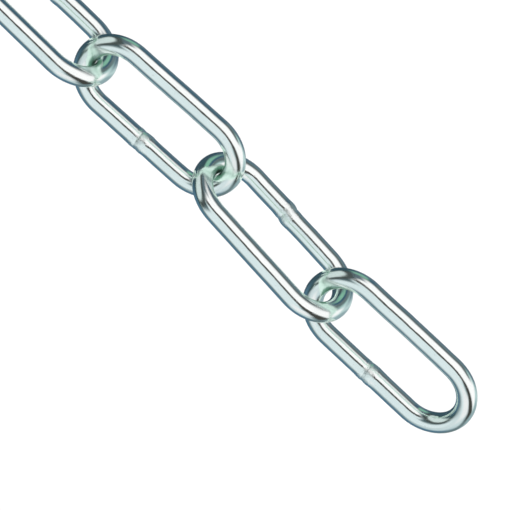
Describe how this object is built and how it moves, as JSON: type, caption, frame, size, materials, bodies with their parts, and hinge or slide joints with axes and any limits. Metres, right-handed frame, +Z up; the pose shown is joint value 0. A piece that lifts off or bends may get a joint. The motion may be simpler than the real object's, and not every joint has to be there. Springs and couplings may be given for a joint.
{
  "type": "length of welded long-link steel chain",
  "caption": "Length of bright zinc-plated steel chain: long welded oval links of round wire, interlinked and laid on the floor in a slow S with one free end straight.",
  "frame": {"origin": "on the floor under the middle of the chain's bounding box", "axes": "+Z up; +X along the straight run, towards its free end; +Y to the left of that run"},
  "size_m": [0.4476, 0.5612, 0.0146],
  "materials": {
    "bright_zinc": "bright zinc plating, smooth and slightly streaked"
  },
  "bodies": {
    "link_01": {"link_01": "bright_zinc"},
    "link_02": {"link_02": "bright_zinc"},
    "link_03": {"link_03": "bright_zinc"},
    "link_04": {"link_04": "bright_zinc"},
    "link_05": {"link_05": "bright_zinc"},
    "link_06": {"link_06": "bright_zinc"},
    "link_07": {"link_07": "bright_zinc"},
    "link_08": {"link_08": "bright_zinc"},
    "link_09": {"link_09": "bright_zinc"},
    "link_10": {"link_10": "bright_zinc"},
    "link_11": {"link_11": "bright_zinc"},
    "link_12": {"link_12": "bright_zinc"},
    "link_13": {"link_13": "bright_zinc"},
    "link_14": {"link_14": "bright_zinc"},
    "link_15": {"link_15": "bright_zinc"},
    "link_16": {"link_16": "bright_zinc"},
    "link_17": {"link_17": "bright_zinc"},
    "link_18": {"link_18": "bright_zinc"},
    "link_19": {"link_19": "bright_zinc"},
    "link_20": {"link_20": "bright_zinc"},
    "link_21": {"link_21": "bright_zinc"},
    "link_22": {"link_22": "bright_zinc"},
    "link_23": {"link_23": "bright_zinc"},
    "link_24": {"link_24": "bright_zinc"},
    "link_25": {"link_25": "bright_zinc"},
    "link_26": {"link_26": "bright_zinc"},
    "link_27": {"link_27": "bright_zinc"},
    "link_28": {"link_28": "bright_zinc"},
    "link_29": {"link_29": "bright_zinc"},
    "link_30": {"link_30": "bright_zinc"},
    "link_31": {"link_31": "bright_zinc"}
  },
  "joints": [
    {"name": "swing_02", "type": "hinge", "parent": "link_01", "child": "link_02", "pos_m": [0.1858, 0.27103, 0.00732], "axis": [-0.0173, 0.7069, 0.7071], "range_deg": [-90, 90]},
    {"name": "swing_03", "type": "hinge", "parent": "link_02", "child": "link_03", "pos_m": [0.15501, 0.27261, 0.00732], "axis": [0.0432, 0.7058, -0.7071], "range_deg": [-90, 90]},
    {"name": "swing_04", "type": "hinge", "parent": "link_03", "child": "link_04", "pos_m": [0.12386, 0.272, 0.00732], "axis": [0.0321, -0.7064, -0.7071], "range_deg": [-90, 90]},
    {"name": "swing_05", "type": "hinge", "parent": "link_04", "child": "link_05", "pos_m": [0.09259, 0.27125, 0.00732], "axis": [0.0012, -0.7071, 0.7071], "range_deg": [-90, 90]},
    {"name": "swing_06", "type": "hinge", "parent": "link_05", "child": "link_06", "pos_m": [0.0612, 0.27036, 0.00732], "axis": [-0.02, 0.7068, 0.7071], "range_deg": [-90, 90]},
    {"name": "swing_07", "type": "hinge", "parent": "link_06", "child": "link_07", "pos_m": [0.03001, 0.26687, 0.00732], "axis": [-0.0786, 0.7027, -0.7071], "range_deg": [-90, 90]},
    {"name": "swing_08", "type": "hinge", "parent": "link_07", "child": "link_08", "pos_m": [-0.0004, 0.25927, 0.00732], "axis": [0.1715, -0.686, -0.7071], "range_deg": [-90, 90]},
    {"name": "swing_09", "type": "hinge", "parent": "link_08", "child": "link_09", "pos_m": [-0.02896, 0.24645, 0.00732], "axis": [0.2895, -0.6451, 0.7071], "range_deg": [-90, 90]},
    {"name": "swing_10", "type": "hinge", "parent": "link_09", "child": "link_10", "pos_m": [-0.05419, 0.22797, 0.00732], "axis": [-0.418, 0.5704, 0.7071], "range_deg": [-90, 90]},
    {"name": "swing_11", "type": "hinge", "parent": "link_10", "child": "link_11", "pos_m": [-0.07444, 0.20418, 0.00732], "axis": [-0.5383, 0.4585, -0.7071], "range_deg": [-90, 90]},
    {"name": "swing_12", "type": "hinge", "parent": "link_11", "child": "link_12", "pos_m": [-0.08838, 0.17624, 0.00732], "axis": [0.6328, -0.3156, -0.7071], "range_deg": [-90, 90]},
    {"name": "swing_13", "type": "hinge", "parent": "link_12", "child": "link_13", "pos_m": [-0.09529, 0.14579, 0.00732], "axis": [0.6896, -0.1566, 0.7071], "range_deg": [-90, 90]},
    {"name": "swing_14", "type": "hinge", "parent": "link_13", "child": "link_14", "pos_m": [-0.09529, 0.11454, 0.00732], "axis": [-0.7071, 0, 0.7071], "range_deg": [-90, 90]},
    {"name": "swing_15", "type": "hinge", "parent": "link_14", "child": "link_15", "pos_m": [-0.08923, 0.08385, 0.00732], "axis": [-0.6937, -0.137, -0.7071], "range_deg": [-90, 90]},
    {"name": "swing_16", "type": "hinge", "parent": "link_15", "child": "link_16", "pos_m": [-0.07845, 0.05443, 0.00732], "axis": [0.6639, 0.2433, -0.7071], "range_deg": [-90, 90]},
    {"name": "swing_17", "type": "hinge", "parent": "link_16", "child": "link_17", "pos_m": [-0.06451, 0.02633, 0.00732], "axis": [0.6335, 0.3142, 0.7071], "range_deg": [-90, 90]},
    {"name": "swing_18", "type": "hinge", "parent": "link_17", "child": "link_18", "pos_m": [-0.04901, -0.00097, 0.00732], "axis": [-0.6149, -0.3492, 0.7071], "range_deg": [-90, 90]},
    {"name": "swing_19", "type": "hinge", "parent": "link_18", "child": "link_19", "pos_m": [-0.0335, -0.02827, 0.00732], "axis": [-0.6149, -0.3492, -0.7071], "range_deg": [-90, 90]},
    {"name": "swing_20", "type": "hinge", "parent": "link_19", "child": "link_20", "pos_m": [-0.01955, -0.05639, 0.00732], "axis": [0.6335, 0.3142, -0.7071], "range_deg": [-90, 90]},
    {"name": "swing_21", "type": "hinge", "parent": "link_20", "child": "link_21", "pos_m": [-0.00876, -0.08584, 0.00732], "axis": [0.6639, 0.2433, 0.7071], "range_deg": [-90, 90]},
    {"name": "swing_22", "type": "hinge", "parent": "link_21", "child": "link_22", "pos_m": [-0.00268, -0.11658, 0.00732], "axis": [-0.6937, -0.137, 0.7071], "range_deg": [-90, 90]},
    {"name": "swing_23", "type": "hinge", "parent": "link_22", "child": "link_23", "pos_m": [-0.00268, -0.14786, 0.00732], "axis": [-0.7071, 0, -0.7071], "range_deg": [-90, 90]},
    {"name": "swing_24", "type": "hinge", "parent": "link_23", "child": "link_24", "pos_m": [-0.0096, -0.17834, 0.00732], "axis": [0.6896, -0.1566, -0.7071], "range_deg": [-90, 90]},
    {"name": "swing_25", "type": "hinge", "parent": "link_24", "child": "link_25", "pos_m": [-0.02354, -0.20628, 0.00732], "axis": [0.6328, -0.3156, 0.7071], "range_deg": [-90, 90]},
    {"name": "swing_26", "type": "hinge", "parent": "link_25", "child": "link_26", "pos_m": [-0.04379, -0.23006, 0.00732], "axis": [-0.5383, 0.4585, 0.7071], "range_deg": [-90, 90]},
    {"name": "swing_27", "type": "hinge", "parent": "link_26", "child": "link_27", "pos_m": [-0.06898, -0.24852, 0.00732], "axis": [-0.418, 0.5704, -0.7071], "range_deg": [-90, 90]},
    {"name": "swing_28", "type": "hinge", "parent": "link_27", "child": "link_28", "pos_m": [-0.09751, -0.26132, 0.00732], "axis": [0.2895, -0.6451, -0.7071], "range_deg": [-90, 90]},
    {"name": "swing_29", "type": "hinge", "parent": "link_28", "child": "link_29", "pos_m": [-0.12788, -0.26892, 0.00732], "axis": [0.1715, -0.686, 0.7071], "range_deg": [-90, 90]},
    {"name": "swing_30", "type": "hinge", "parent": "link_29", "child": "link_30", "pos_m": [-0.15904, -0.2724, 0.00732], "axis": [-0.0786, 0.7027, 0.7071], "range_deg": [-90, 90]},
    {"name": "swing_31", "type": "hinge", "parent": "link_30", "child": "link_31", "pos_m": [-0.19041, -0.27329, 0.00732], "axis": [-0.02, 0.7068, -0.7071], "range_deg": [-90, 90]}
  ]
}
